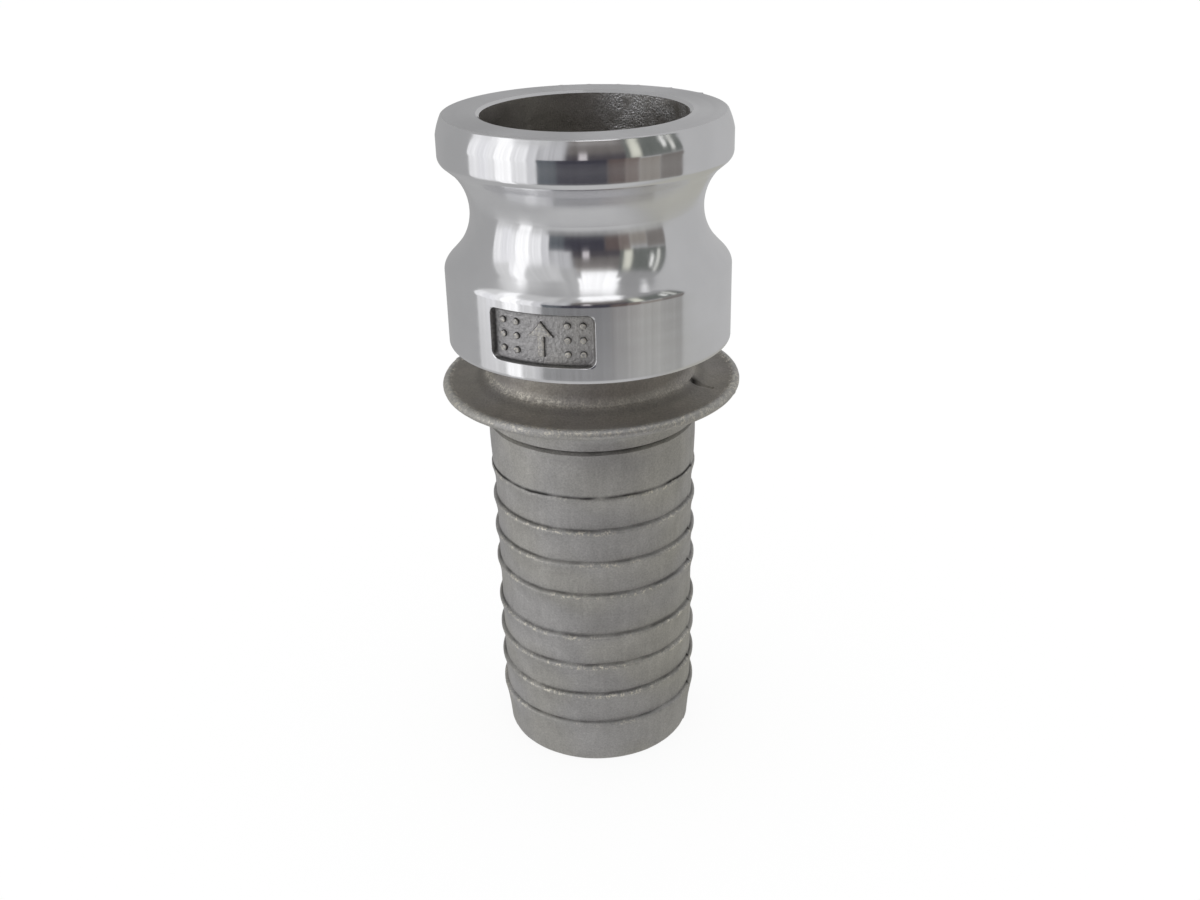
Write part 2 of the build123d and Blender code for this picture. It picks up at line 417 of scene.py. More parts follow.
def finish_material(kind):
    """Returns the named finish, made when it is first asked for."""
    if kind in bpy.data.materials:
        return bpy.data.materials[kind]
    colours = bpy.context.scene.camlock_finishes
    # Turned with a fine feed: a clear mirror that shows the room in upright strips
    if kind == TURNED:
        return turned_aluminium(kind, colours.turned, roughness=0.12, mark_depth=0.0005 * MM)
    # Under the lip the tool chatters: the mirror is hazy
    if kind == UNDERCUT:
        return turned_aluminium(kind, colours.turned, roughness=0.2, mark_depth=0.0006 * MM)
    # Faced with a coarse feed: an even satin sheen
    if kind == FACED:
        return turned_aluminium(
            kind, colours.faced, roughness=0.34, mark_depth=0.002 * MM, radial_marks=True
        )
    # Shot blasted: an even matt grey
    if kind == BLASTED:
        return cast_aluminium(
            kind,
            colours.blasted,
            colours.rub_highlight_metal,
            roughness=0.62,
            grain=0.35 * MM,
            grain_depth=0.035 * MM,
            mottle=0.17,
        )
    # Left as cast, out of the blast: a darker, coarser grey
    if kind == AS_CAST:
        return cast_aluminium(
            kind,
            colours.as_cast,
            colours.rub_highlight_metal,
            roughness=0.6,
            grain=0.35 * MM,
            grain_depth=0.06 * MM,
            mottle=0.15,
        )
    # The pocket's floor, from a rougher insert in the die: grainy, with small glints
    if kind == POCKET_CAST:
        return cast_aluminium(
            kind,
            colours.pocket,
            colours.rub_highlight_metal,
            roughness=0.44,
            grain=0.42 * MM,
            grain_depth=0.2 * MM,
            mottle=0.12,
        )
    # The cored bore: dark oxide, with painted highlights as bright coarse grains on one side
    if kind == BORE_CAST:
        return cast_aluminium(
            kind,
            colours.bore_skin,
            colours.turned,
            roughness=0.42,
            grain=0.27 * MM,
            grain_depth=0.13 * MM,
            mottle=0.15,
            calm=0.3,
        )
    raise ValueError(f"no finish named {kind}")


# ---------------------------------------------------------------- outlines and meshes


def run(start, end, steps, bulge=0.0):
    """Points from start to end, each (radius, height), on a line or an arc. A positive bulge
    swells away from the axis on a line walked upwards."""
    start, end = np.array(start, float), np.array(end, float)
    if not bulge:
        return start + (end - start) * np.linspace(0, 1, steps + 1)[:, None]
    chord = np.linalg.norm(end - start)
    side = np.array([end[1] - start[1], start[0] - end[0]]) / chord
    radius = (chord**2 / 4 + bulge**2) / (2 * abs(bulge))
    half = 2 * math.atan2(2 * abs(bulge), chord)
    centre = (start + end) / 2 + side * math.copysign(radius - abs(bulge), -bulge)
    angles = np.linspace(-half, half, steps + 1)[:, None]
    out = side * math.copysign(1, bulge)
    along = (end - start) / chord
    return centre + radius * (out * np.cos(angles) + along * np.sin(angles))


def outline(strips):
    """Joins strips of (points, finish) end to end. Returns the rings, and each ring's finish up
    to the next."""
    rings, finishes = [], []
    for points, finish in strips:
        rings.extend(points[:-1])
        finishes.extend([finish] * (len(points) - 1))
    return np.array(rings), finishes


def around(rings, columns=COLUMNS):
    """Ring and column grids of radius, height and azimuth."""
    radius = np.repeat(rings[:, :1], len(columns), 1)
    height = np.repeat(rings[:, 1:], len(columns), 1)
    return radius, height, np.repeat(columns[None], len(rings), 0)


def to_points(radius, height, azimuth):
    """Points from cylinder coordinates, azimuth from -Y towards +X."""
    return np.stack([radius * np.sin(azimuth), -radius * np.cos(azimuth), height], -1)


def ripple(radius, height, azimuth, size, octaves=2, seed=0.0):
    """Smooth noise of about -1 to 1 over a surface, with lumps of the given size."""
    points = to_points(radius, height, azimuth).reshape(-1, 3) / size + seed
    values = [noise.fractal(Vector(p), 1.0, 2.0, octaves) for p in points]
    return np.array(values).reshape(radius.shape)


def ring_faces(ring_count, column_count):
    """Faces between each ring and the next, closed both ways."""
    i, j = np.meshgrid(np.arange(ring_count), np.arange(column_count), indexing="ij")
    up, right = (i + 1) % ring_count, (j + 1) % column_count
    here, above = i * column_count, up * column_count
    return np.stack([here + j, here + right, above + right, above + j], -1).reshape(-1, 4)


def build_mesh(name, points, faces, finishes, rub_and_highlight=None, painted_shade=None, crease=32):
    """Makes the object, with the finish of each face, smooth shading, and sharp edges at its
    creases, in degrees. The two paints give each point's share of rubbed bright metal with painted
    highlight, and of painted shade."""
    mesh = bpy.data.meshes.new(name)
    mesh.from_pydata(points.tolist(), [], [list(map(int, face)) for face in faces])
    kinds = list(dict.fromkeys(str(finish) for finish in finishes))
    for kind in kinds:
        mesh.materials.append(finish_material(kind))
    mesh.polygons.foreach_set("material_index", [kinds.index(finish) for finish in finishes])
    for kind, share in (("rub_and_highlight", rub_and_highlight), ("painted_shade", painted_shade)):
        painted = mesh.attributes.new(kind, "FLOAT", "POINT")
        painted.data.foreach_set("value", np.zeros(len(points)) if share is None else np.clip(share, 0, 1))
    tidy = bmesh.new()
    tidy.from_mesh(mesh)
    bmesh.ops.remove_doubles(tidy, verts=tidy.verts, dist=0.0002 * MM)
    bmesh.ops.recalc_face_normals(tidy, faces=tidy.faces)
    loose = sum(1 for edge in tidy.edges if len(edge.link_faces) != 2)
    if loose:
        raise RuntimeError(f"{name} has {loose} open or doubled edges")
    tidy.to_mesh(mesh)
    tidy.free()
    mesh.shade_smooth()
    mesh.set_sharp_from_angle(angle=math.radians(crease))
    piece = bpy.data.objects.new(name, mesh)
    bpy.context.scene.collection.objects.link(piece)
    return piece


def lathe(zone, strips, shape, rub_and_highlight=None, painted_shade=None):
    """Turns the strips of an outline about the axis into the piece that stands for a CAD zone."""
    rings, finishes = outline(strips)
    radius, height, azimuth = around(rings)
    painted = [paint(radius, height, azimuth).ravel() if paint else None for paint in (rub_and_highlight, painted_shade)]
    radius, height = shape(radius, height, azimuth)
    points = to_points(radius, height, azimuth).reshape(-1, 3)
    finishes = np.repeat(finishes, radius.shape[1])
    piece = build_mesh(zone, points, ring_faces(*radius.shape), finishes, *painted)
    mount(piece, zone)


def mount(piece, node):
    """Sets the finished piece on the frame in place of its CAD zone."""
    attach(piece, "root")
    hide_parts(node)


def near(value, centre, width):
    """A soft bump of height 1 round a value."""
    return np.exp(-(((value - centre) / width) ** 2))


def part_line(azimuth):
    """1 on the two lines where the die halves meet, falling to 0 half a millimetre away."""
    away = np.abs(azimuth) - math.pi / 2
    return near(away, 0, math.radians(0.55))


def rear_die(azimuth):
    """1 over the rear die half, 0 over the front, with a step at the parting lines."""
    away = (np.abs(azimuth) - math.pi / 2) / math.radians(0.8)
    return np.clip(away, 0, 1)


def keep_ends(height, zone, margin=0.5 * MM):
    """0 at a zone's flat ends and 1 in between, so that zones still meet."""
    inside = np.minimum(height - LOW[zone], HIGH[zone] - height) / margin
    return np.clip(inside, 0, 1)


# ---------------------------------------------------------------- the turned head


def lip_outline():
    """The lip, its crowned lead-in, the sealing face and the bore's mouth."""
    sizes = bpy.context.scene.camlock_head
    foot, top, rim = LOW["cam_lip"], HEAD_TOP, RADIUS["cam_lip"]
    lead_foot, edge = top - sizes.lead_in, sizes.face_edge
    corner, crown_bulge, soft = 0.28 * MM, 0.1 * MM, 0.08 * MM
    crown_top = (edge + soft, top - corner)
    mouth = sizes.bore + sizes.mouth
    return (
        (run((rim, foot), (rim, lead_foot), 8), TURNED),
        (run((rim, lead_foot), crown_top, 10, crown_bulge), TURNED),
        (run(crown_top, (edge - corner, top), 5, soft), TURNED),
        (run((edge - corner, top), (mouth + 0.1 * MM, top), 16), FACED),
        (run((mouth + 0.1 * MM, top), (mouth, top - soft), 2), TURNED),
        (run((mouth, top - soft), (sizes.bore, top - sizes.mouth), 3), TURNED),
        (run((sizes.bore, top - sizes.mouth), (sizes.bore, foot), 14), BORE_CAST),
        (run((sizes.bore, foot), (rim, foot), 1), BORE_CAST),
    )


def bore_skin(zone):
    """Lumpy cast skin for the bore of a turned zone, with the outside left true. The bore is a
    little narrower inside than at the mouth, where it was cleaned out."""
    sizes = bpy.context.scene.camlock_head
    shank = bpy.context.scene.camlock_shank
    narrower, fade = 0.05 * MM, 0.5 * MM

    def shape(radius, height, azimuth):
        inside = (radius < sizes.bore + 0.01 * MM) & (radius > shank.bore - 0.1 * MM)
        ends = np.minimum(HEAD_TOP - height, height - LOW["body_band"])
        closed = np.clip(ends / fade, 0, 1)
        lumps = ripple(radius, height, azimuth, 1.4 * MM) * 0.02 * MM
        lumps += ripple(radius, height, azimuth, 6 * MM, 2, 3.0) * 0.06 * MM
        return radius + np.where(inside, lumps * keep_ends(height, zone) - narrower * closed, 0), height

    return shape


def bore_glints(radius, height, azimuth):
    """Painted highlights as coarse bright grains on one side of the bore."""
    first, last, soft = np.radians((102, 188, 16))
    inside = radius < bpy.context.scene.camlock_head.bore + 0.1 * MM
    turn = np.mod(azimuth, 2 * math.pi)
    side = smooth_step(turn, first, soft) * (1 - smooth_step(turn, last, soft))
    patches = np.clip(0.55 + 0.9 * ripple(radius, height, azimuth, 3 * MM, 2, 21.0), 0, 1)
    return inside * side * patches


class CAMLOCK_OT_cam_lip(bpy.types.Operator):
    """Builds the lip over the cam groove, with its sealing face"""

    bl_idname = "camlock.cam_lip"
    bl_label = "Cam Lip"

    def execute(self, context):
        edge = context.scene.camlock_head.face_edge
        burr_degrees, burr_width, burr_reach = (-176, -163, -151, 141, 159, 175), 0.8, 0.6 * MM
        skin = bore_skin("cam_lip")

        def burred(radius, height, azimuth):
            """Small burrs where the facing tool ran off the crowned edge."""
            radius, height = skin(radius, height, azimuth)
            at_edge = near(radius, edge, 0.3 * MM) * (height > HEAD_TOP - 0.3 * MM)
            burrs = sum(near(np.degrees(azimuth), place, burr_width) for place in burr_degrees)
            return radius + burr_reach * burrs * at_edge, height

        lathe("cam_lip", lip_outline(), burred, bore_glints)
        return {"FINISHED"}


class CAMLOCK_OT_cam_groove(bpy.types.Operator):
    """Builds the waisted groove that the coupler's cam arms pull on"""

    bl_idname = "camlock.cam_groove"
    bl_label = "Cam Groove"

    def execute(self, context):
        sizes = context.scene.camlock_head
        foot, top, rim = LOW["cam_groove"], HIGH["cam_groove"], RADIUS["cam_groove"]
        flank, middle = sizes.flank, sizes.waist_height
        half_height = sizes.groove * math.sin(flank)
        depth = sizes.groove * (1 - math.cos(flank))
        lower = (sizes.waist + depth, middle - half_height)
        upper = (sizes.waist + depth, middle + half_height)
        # The flank turns into the lip over a short straight edge
        edge, setback = 0.35 * MM, sizes.lip_foot * math.tan(flank / 2)
        lip_corner = top - edge - setback
        flank_end = (rim - setback * math.sin(flank), lip_corner - setback * math.cos(flank))
        lip_bulge = sizes.lip_foot * (1 - math.cos(flank / 2))
        # The shoulder swells softly off the flank, then turns sharply on to the rim
        brow = (lower[0] + 1.34 * MM, lower[1] - 1.41 * MM)
        brink = (brow[0] + 0.65 * MM, brow[1] - 0.86 * MM)
        below = (rim, brink[1] - 0.98 * MM)
        arc = run(lower, upper, 40, -depth)
        overhang = 24
        strips = (
            (run((rim, foot), below, 5), TURNED),
            (run(below, brink, 12, 0.067 * MM), TURNED),
            (run(brink, brow, 10, 0.038 * MM), TURNED),
            (run(brow, lower, 8, -0.018 * MM), TURNED),
            (arc[: overhang + 1], TURNED),
            (arc[overhang:], UNDERCUT),
            (run(upper, flank_end, 5), UNDERCUT),
            (run(flank_end, (rim, top - edge), 8, lip_bulge), TURNED),
            (run((rim, top - edge), (rim, top), 1), TURNED),
            (run((rim, top), (sizes.bore, top), 1), BORE_CAST),
            (run((sizes.bore, top), (sizes.bore, foot), 44), BORE_CAST),
            (run((sizes.bore, foot), (rim, foot), 1), BORE_CAST),
        )
        ding_azimuth, ding_height = math.radians(54), middle + 4.79 * MM
        half_width, half_tall, ding_depth = 2.1 * MM, 0.75 * MM, 0.02 * MM
        skin = bore_skin("cam_groove")

        def dinged(radius, height, azimuth):
            """A faint oval ding in the groove, as parts get when they knock together."""
            across = (azimuth - ding_azimuth) * sizes.waist / half_width
            up = (height - ding_height) / half_tall
            ding = near(np.hypot(across, up), 1, 0.3) * (radius > sizes.waist - MM)
            radius, height = skin(radius, height, azimuth)
            return radius - ding_depth * ding, height

        lathe("cam_groove", strips, dinged, bore_glints)
        return {"FINISHED"}


def rounded_outline(u, v, half_width, half_height, corners):
    """Maps points of a square's edge, from -1 to 1, on to a rectangle with rounded corners.
    corners gives the radius for each (left or right, low or high)."""
    x, y = u * half_width, v * half_height
    for sign_x in (-1, 1):
        for sign_y in (-1, 1):
            radius = corners[sign_x, sign_y]
            from_side = half_width - sign_x * x
            from_end = half_height - sign_y * y
            here = (from_side < radius) & (from_end < radius)
            # Walked from one side to the other, the corner's quarter turn is shared out evenly
            along_end = 90 - 45 * (1 - from_side / radius)
            along_side = 45 * (1 - from_end / radius)
            turn = np.radians(np.where(from_end < from_side, along_end, along_side))
            corner_x = half_width - radius + radius * np.cos(turn)
            corner_y = half_height - radius + radius * np.sin(turn)
            x = np.where(here, sign_x * corner_x, x)
            y = np.where(here, sign_y * corner_y, y)
    return x, y


def pocket_patch(row_heights):
    """The band's skin round the marking pocket, with the pocket's walls and floor. Its border
    falls on the lathed band's columns and rows."""
    sizes = bpy.context.scene.camlock_head
    rim = RADIUS["body_band"]
    columns = [d for d in COLUMN_DEGREES if abs(d) <= POCKET_SPAN]
    wide, tall = len(columns) - 1, len(row_heights) - 1
    # The border, walked round once, as fractions of the patch and as points on the band
    left_right = np.linspace(-1, 1, wide + 1)
    low_high = np.linspace(-1, 1, tall + 1)
    u = np.concatenate([left_right[:-1], np.full(tall, 1.0), left_right[:0:-1], np.full(tall, -1.0)])
    v = np.concatenate([np.full(wide, -1.0), low_high[:-1], np.full(wide, 1.0), low_high[:0:-1]])
    arc = np.radians(POCKET_SPAN) * rim
    border_s = u * arc
    border_z = np.interp(v, low_high, row_heights)
    middle = (sizes.pocket_low + sizes.pocket_high) / 2
    half_w = sizes.pocket_half_angle * rim
    half_h = (sizes.pocket_high - sizes.pocket_low) / 2
    corners = {(-1, 1): 1.1 * MM, (-1, -1): 1.9 * MM, (1, 1): 1.5 * MM, (1, -1): 1.6 * MM}
    loops, loop_finishes = [], []

    def loop(inset, depth, finish):
        inner = {key: max(value - inset * 0.6, 0.25 * MM) for key, value in corners.items()}
        s, z = rounded_outline(u, v, half_w - inset, half_h - inset, inner)
        loops.append((s, z + middle, np.full(len(s), rim - depth)))
        loop_finishes.append(finish)

    depth = rim - sizes.pocket_floor
    draft = math.tan(math.radians(17))
    brim, lead = 0.05 * MM, 0.02 * MM
    edge_s, edge_z = rounded_outline(u, v, half_w + brim, half_h + brim, corners)
    edge_z = edge_z + middle
    for share in np.linspace(0, 1, 10)[:-1] ** 0.8:
        s = border_s + (edge_s - border_s) * share
        z = border_z + (edge_z - border_z) * share
        loops.append((s, z, np.full(len(u), rim)))
        loop_finishes.append(TURNED)
    loop(-brim, 0.0, TURNED)
    loop(lead, brim, POCKET_CAST)
    for share in (0.15, 0.35, 0.55, 0.72):
        loop(depth * share * draft + lead, depth * share, POCKET_CAST)
    # A soft fillet at the foot of the wall
    for inset, share in ((0.30, 0.85), (0.40, 0.94), (0.55, 0.985), (0.75, 1.0)):
        loop(inset * MM, depth * share, POCKET_CAST)
    inner_w, inner_h = half_w - 2.2 * MM, half_h - 2.0 * MM
    last_s, last_z, _ = loops[-1]
    for share in (0.34, 0.67, 1.0):
        s = last_s + (u * inner_w - last_s) * share
        z = last_z + (v * inner_h + middle - last_z) * share
        loops.append((s, z, np.full(len(u), rim - depth)))
        loop_finishes.append(POCKET_CAST)
    count = len(u)
    points = [to_points(r, z, s / rim) for s, z, r in loops]
    faces, finishes = [], []
    for k in range(len(loops) - 1):
        for j in range(count):
            n = (j + 1) % count
            faces.append((k * count + j, k * count + n, (k + 1) * count + n, (k + 1) * count + j))
            finishes.append(loop_finishes[k])
    # The floor's middle is a plain grid
    grid_u, grid_v = np.meshgrid(left_right, low_high, indexing="xy")
    start = len(loops) * count
    grid_s, grid_z = (grid_u * inner_w).ravel(), (grid_v * inner_h + middle).ravel()
    points.append(to_points(np.full(grid_s.size, rim - depth), grid_z, grid_s / rim))
    for row in range(tall):
        for column in range(wide):
            a = start + row * (wide + 1) + column
            faces.append((a, a + 1, a + wide + 2, a + wide + 1))
            finishes.append(POCKET_CAST)
    return np.concatenate(points), faces, finishes


class CAMLOCK_OT_body_band(bpy.types.Operator):
    """Builds the plain turned band, with the as-cast marking pocket and the step in the bore"""

    bl_idname = "camlock.body_band"
    bl_label = "Body Band"

    def execute(self, context):
        sizes = context.scene.camlock_head
        shank = context.scene.camlock_shank
        foot, top, rim = LOW["body_band"], HIGH["body_band"], RADIUS["body_band"]
        edge = 0.2 * MM
        patch_low, patch_high = foot + 1.2 * MM, top - 0.25 * MM
        patch_rows = 52
        step_foot, step_top = foot + 1.5 * MM, foot + 4.5 * MM
        strips = (
            (run((rim - edge, foot), (rim, foot + edge), 3, 0.05 * MM), TURNED),
            (run((rim, foot + edge), (rim, patch_low), 2), TURNED),
            (run((rim, patch_low), (rim, patch_high), patch_rows), TURNED),
            (run((rim, patch_high), (rim, top), 1), TURNED),
            (run((rim, top), (sizes.bore, top), 1), BORE_CAST),
            (run((sizes.bore, top), (sizes.bore, step_top), 16), BORE_CAST),
            (run((sizes.bore, step_top), (shank.bore, step_foot), 8), BORE_CAST),
            (run((shank.bore, step_foot), (shank.bore, foot), 3), BORE_CAST),
            (run((shank.bore, foot), (rim - edge, foot), 8), TURNED),
        )
        rings, finishes = outline(strips)
        radius, height, azimuth = around(rings)
        radius, height = bore_skin("body_band")(radius, height, azimuth)
        points = to_points(radius, height, azimuth).reshape(-1, 3)
        faces = ring_faces(*radius.shape)
        finishes = np.repeat(finishes, radius.shape[1])
        # The pocket's patch takes the place of the faces that it covers
        first = int(np.argmin(np.abs(rings[:, 1] - patch_low) + (rings[:, 0] < rim - MM)))
        ring_of, column_of = np.divmod(np.arange(len(faces)), radius.shape[1])
        degrees = np.degrees(COLUMNS)[column_of]
        cut = (ring_of >= first) & (ring_of < first + patch_rows)
        cut &= (degrees >= -POCKET_SPAN - 0.01) & (degrees < POCKET_SPAN - 0.01)
        row_heights = rings[first : first + patch_rows + 1, 1]
        more_points, more_faces, more_finishes = pocket_patch(row_heights)
        # As-cast floor and walls are a little lumpy
        lump_size, lump_height = 1.1 * MM, 0.025 * MM
        lumps = [noise.fractal(Vector(p) / lump_size, 1.0, 2.0, 2) for p in more_points]
        reach = np.hypot(more_points[:, 0], more_points[:, 1])
        sunk = np.clip((rim - reach) / MM, 0, 1)
        more_points[:, :2] *= (1 + np.array(lumps) * sunk * lump_height / reach)[:, None]
        all_points = np.concatenate([points, more_points])
        all_faces = np.concatenate([faces[~cut], np.array(more_faces) + len(points)])
        used, renumbered = np.unique(all_faces, return_inverse=True)
        shade = np.concatenate([np.zeros(len(points)), pocket_shade(more_points, rim)])
        piece = build_mesh(
            "body_band",
            all_points[used],
            renumbered.reshape(all_faces.shape),
            [*finishes[~cut], *more_finishes],
            painted_shade=shade[used],
        )
        mount(piece, "body_band")
        return {"FINISHED"}


def pocket_shade(points, rim):
    """Painted shade in the corner where the pocket's walls meet its floor."""
    sizes = bpy.context.scene.camlock_head
    azimuth = np.arctan2(points[:, 0], -points[:, 1])
    half_w = sizes.pocket_half_angle * rim
    half_h = (sizes.pocket_high - sizes.pocket_low) / 2
    middle = (sizes.pocket_high + sizes.pocket_low) / 2
    side = half_w - np.abs(azimuth) * rim
    end = half_h - np.abs(points[:, 2] - middle)
    inset = np.minimum(side, end)
    # The wall on the right faces the light, so it gets less painted shade
    amount = np.where((azimuth > 0) & (side < end), 0.35, 0.8)
    return amount * near(inset, 0.3 * MM, 0.3 * MM) * (inset > 0)


def raised_mark(points, faces, rub_and_highlight, painted_shade, ring, floor, relief):
    """Adds one cast mark: an outline of (arc length, height) points walked anticlockwise,
    raised off the pocket's floor with drafted sides, painted shade at its foot and rounded edges,
    rubbed and painted with highlights."""
    ring = np.array(ring)
    count = len(ring)
    centre = ring.mean(0)
    before, after = np.roll(ring, 1, 0), np.roll(ring, -1, 0)
    along = after - before
    inward = np.stack([-along[:, 1], along[:, 0]], -1)
    inward /= np.linalg.norm(inward, axis=1)[:, None]
    start = len(points)
    # Each level's inset in mm, its share of the relief, and its shares of rubbed metal with painted
    # highlight and of painted shade
    levels = (
        (0.0, -0.05, 0, 0.95),
        (0.02, 0.12, 0, 0.95),
        (0.08, 0.6, 0.1, 0.7),
        (0.14, 0.84, 0.7, 0.1),
        (0.24, 0.97, 0.9, 0),
        (0.36, 1.0, 0.5, 0),
    )
    for inset, share, bright, dark in levels:
        rub_and_highlight.extend([bright] * count)
        painted_shade.extend([dark] * count)
        level = ring + inward * inset * MM
        radius = floor + relief * share
        points.extend(to_points(np.full(count, radius), level[:, 1], level[:, 0] / floor).tolist())
    for k in range(len(levels) - 1):
        for j in range(count):
            n = (j + 1) % count
            a = start + k * count
            faces.append((a + j, a + n, a + count + n, a + count + j))
    points.append(to_points(floor + relief, centre[1], centre[0] / floor).tolist())
    points.append(to_points(floor - 0.05 * relief, centre[1], centre[0] / floor).tolist())
    rub_and_highlight.extend([0.4, 0.0])
    painted_shade.extend([0.0, 0.0])
    top, bottom, last = len(points) - 2, len(points) - 1, start + (len(levels) - 1) * count
    for j in range(count):
        n = (j + 1) % count
        faces.append((last + j, last + n, top))
        faces.append((start + n, start + j, bottom))


def subdivided(corners, spacing):
    """A closed outline with extra points along its sides."""
    found = []
    for here, there in zip(corners, corners[1:] + corners[:1]):
        here, there = np.array(here), np.array(there)
        steps = max(1, round(float(np.linalg.norm(there - here)) / spacing))
        found.extend((here + (there - here) * k / steps).tolist() for k in range(steps))
    return found


class CAMLOCK_OT_flow_mark(bpy.types.Operator):
    """Builds the raised flow arrow and the rows of pips on the pocket's floor"""

    bl_idname = "camlock.flow_mark"
    bl_label = "Flow Mark"

    def execute(self, context):
        sizes = context.scene.camlock_head
        low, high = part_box("flow_mark")
        middle, half_tall = (low.z + high.z) / 2, (high.z - low.z) / 2
        floor = sizes.pocket_floor
        points, faces, rub_and_highlight, painted_shade = [], [], [], []
        shaft, wing, head = 0.65 * MM, 2.3 * MM, 2.8 * MM
        neck = half_tall - head
        # The shaft and the head are two marks that run into each other, each one convex
        shaft_top = neck + 0.5 * MM
        arrow_shaft = [(-shaft, -half_tall), (shaft, -half_tall), (shaft, shaft_top), (-shaft, shaft_top)]
        arrow_head = [(-wing, neck), (wing, neck), (0, half_tall)]
        for shape in (arrow_shaft, arrow_head):
            placed = [(s, z + middle) for s, z in shape]
            raised_mark(points, faces, rub_and_highlight, painted_shade, subdivided(placed, 0.2 * MM), floor, sizes.relief)
        pip = 0.65 * MM
        turns = np.linspace(0, 2 * math.pi, 25)[:-1]
        for column in (-7.4, -4.7, 4.7, 7.4):
            for row in (-1, 0, 1):
                across, up = column * MM, middle + row * (half_tall - pip)
                ring = np.stack([across + pip * np.cos(turns), up + pip * np.sin(turns)], -1)
                raised_mark(points, faces, rub_and_highlight, painted_shade, ring, floor, sizes.relief)
        finishes = [POCKET_CAST] * len(faces)
        piece = build_mesh("flow_mark", np.array(points), faces, finishes, rub_and_highlight, painted_shade, crease=50)
        mount(piece, "flow_mark")
        return {"FINISHED"}


# ---------------------------------------------------------------- the cast neck, collar and shank


def cast_shape(zone, lumps, wave=0.0):
    """The unevenness of a cast zone: soft lumps, small pits, the flash at the parting lines and,
    with a wave, ledges that wander up and down and sit low on the rear die half."""
    shank = bpy.context.scene.camlock_shank

    def shape(radius, height, azimuth):
        free = keep_ends(height, zone)
        outside = radius > shank.bore + 0.5 * MM
        uneven = ripple(radius, height, azimuth, 5 * MM, 2, 1.7) * lumps
        uneven += ripple(radius, height, azimuth, 1.2 * MM, 2, 9.1) * lumps * 0.45
        ragged = 0.7 + 0.6 * ripple(radius, height, azimuth, 2 * MM, 2, 4.2)
        witness = part_line(azimuth) * shank.flash * ragged
        wander = ripple(radius, height, azimuth, 4 * MM, 3, 6.3) * wave
        if wave:
            wander -= rear_die(azimuth) * shank.die_offset
        lift = np.where(outside, witness + uneven, uneven * 1.5)
        radius = np.minimum(radius + lift * free, RADIUS[zone])
        return radius, height + np.where(outside, wander * free, 0)

    return shape


def ledge_shade(levels, width, amount):
    """Painted shade in the corners above the given heights, darkest in the nicks where the ledges
    cross the parting lines."""
    nick_height, nick_turn = 0.5 * MM, math.radians(1.3)

    def painted_shade(radius, height, azimuth):
        uneven = np.clip(0.75 + 0.7 * ripple(radius, height, azimuth, 5 * MM, 2, 12.0), 0.1, 1)
        seam = near(np.abs(azimuth), math.pi / 2, nick_turn)
        corners = sum(near(height, level, width) for level in levels)
        nicks = sum(near(height, level, nick_height) for level in levels) * seam
        return (corners + nicks) * uneven * amount

    return painted_shade


def edge_rubs_and_highlights(levels, width, amount, seed, inner=0.0, even=0.0):
    """Rubbed bright metal with painted highlights in broken runs along edges at the given heights,
    outside a radius. even is the least that is left between the runs."""

    def rub_and_highlight(radius, height, azimuth):
        broken = np.clip(ripple(radius, height, azimuth, 0.8 * MM, 2, seed) * 2.2 + 0.3, 0, 1)
        patches = np.clip(ripple(radius, height, azimuth, 7 * MM, 2, seed + 5) * 2 + 0.6, even, 1)
        total = sum(near(height, level, width) for level in levels)
        return total * (radius > inner) * broken * patches * amount

    return rub_and_highlight


def foot_highlight_grains(radius, height, azimuth):
    """Painted highlights as bright grains where the neck meets the collar, most of them left of the
    mark, on the side that faces the window.
    """
    grains = np.clip(0.5 + ripple(radius, height, azimuth, 0.9 * MM, 2, 8.0), 0, 1)
    return grains * (0.35 + 0.65 * near(azimuth, math.radians(-25), math.radians(45)))


class CAMLOCK_OT_ferrule_neck(bpy.types.Operator):
    """Builds the plain cast neck between the head and the collar"""

    bl_idname = "camlock.ferrule_neck"
    bl_label = "Ferrule Neck"

    def execute(self, context):
        shank = context.scene.camlock_shank
        foot, top = LOW["ferrule_neck"], HIGH["ferrule_neck"]
        fillet_top = foot + 2.0 * MM
        strips = (
            (run((shank.neck_foot, foot), (shank.neck, fillet_top), 8, -0.22 * MM), AS_CAST),
            (run((shank.neck, fillet_top), (shank.neck, top), 16), AS_CAST),
            (run((shank.neck, top), (shank.bore, top), 1), BORE_CAST),
            (run((shank.bore, top), (shank.bore, foot), 10), BORE_CAST),
            (run((shank.bore, foot), (shank.neck_foot, foot), 1), BORE_CAST),
        )

        def rubbed(radius, height, azimuth):
            """Painted highlights as bright grains along the foot."""
            return near(height, foot + 0.4 * MM, 0.6 * MM) * foot_highlight_grains(radius, height, azimuth)

        shape = cast_shape("ferrule_neck", 0.05 * MM)
        lathe("ferrule_neck", strips, shape, rubbed)
        return {"FINISHED"}


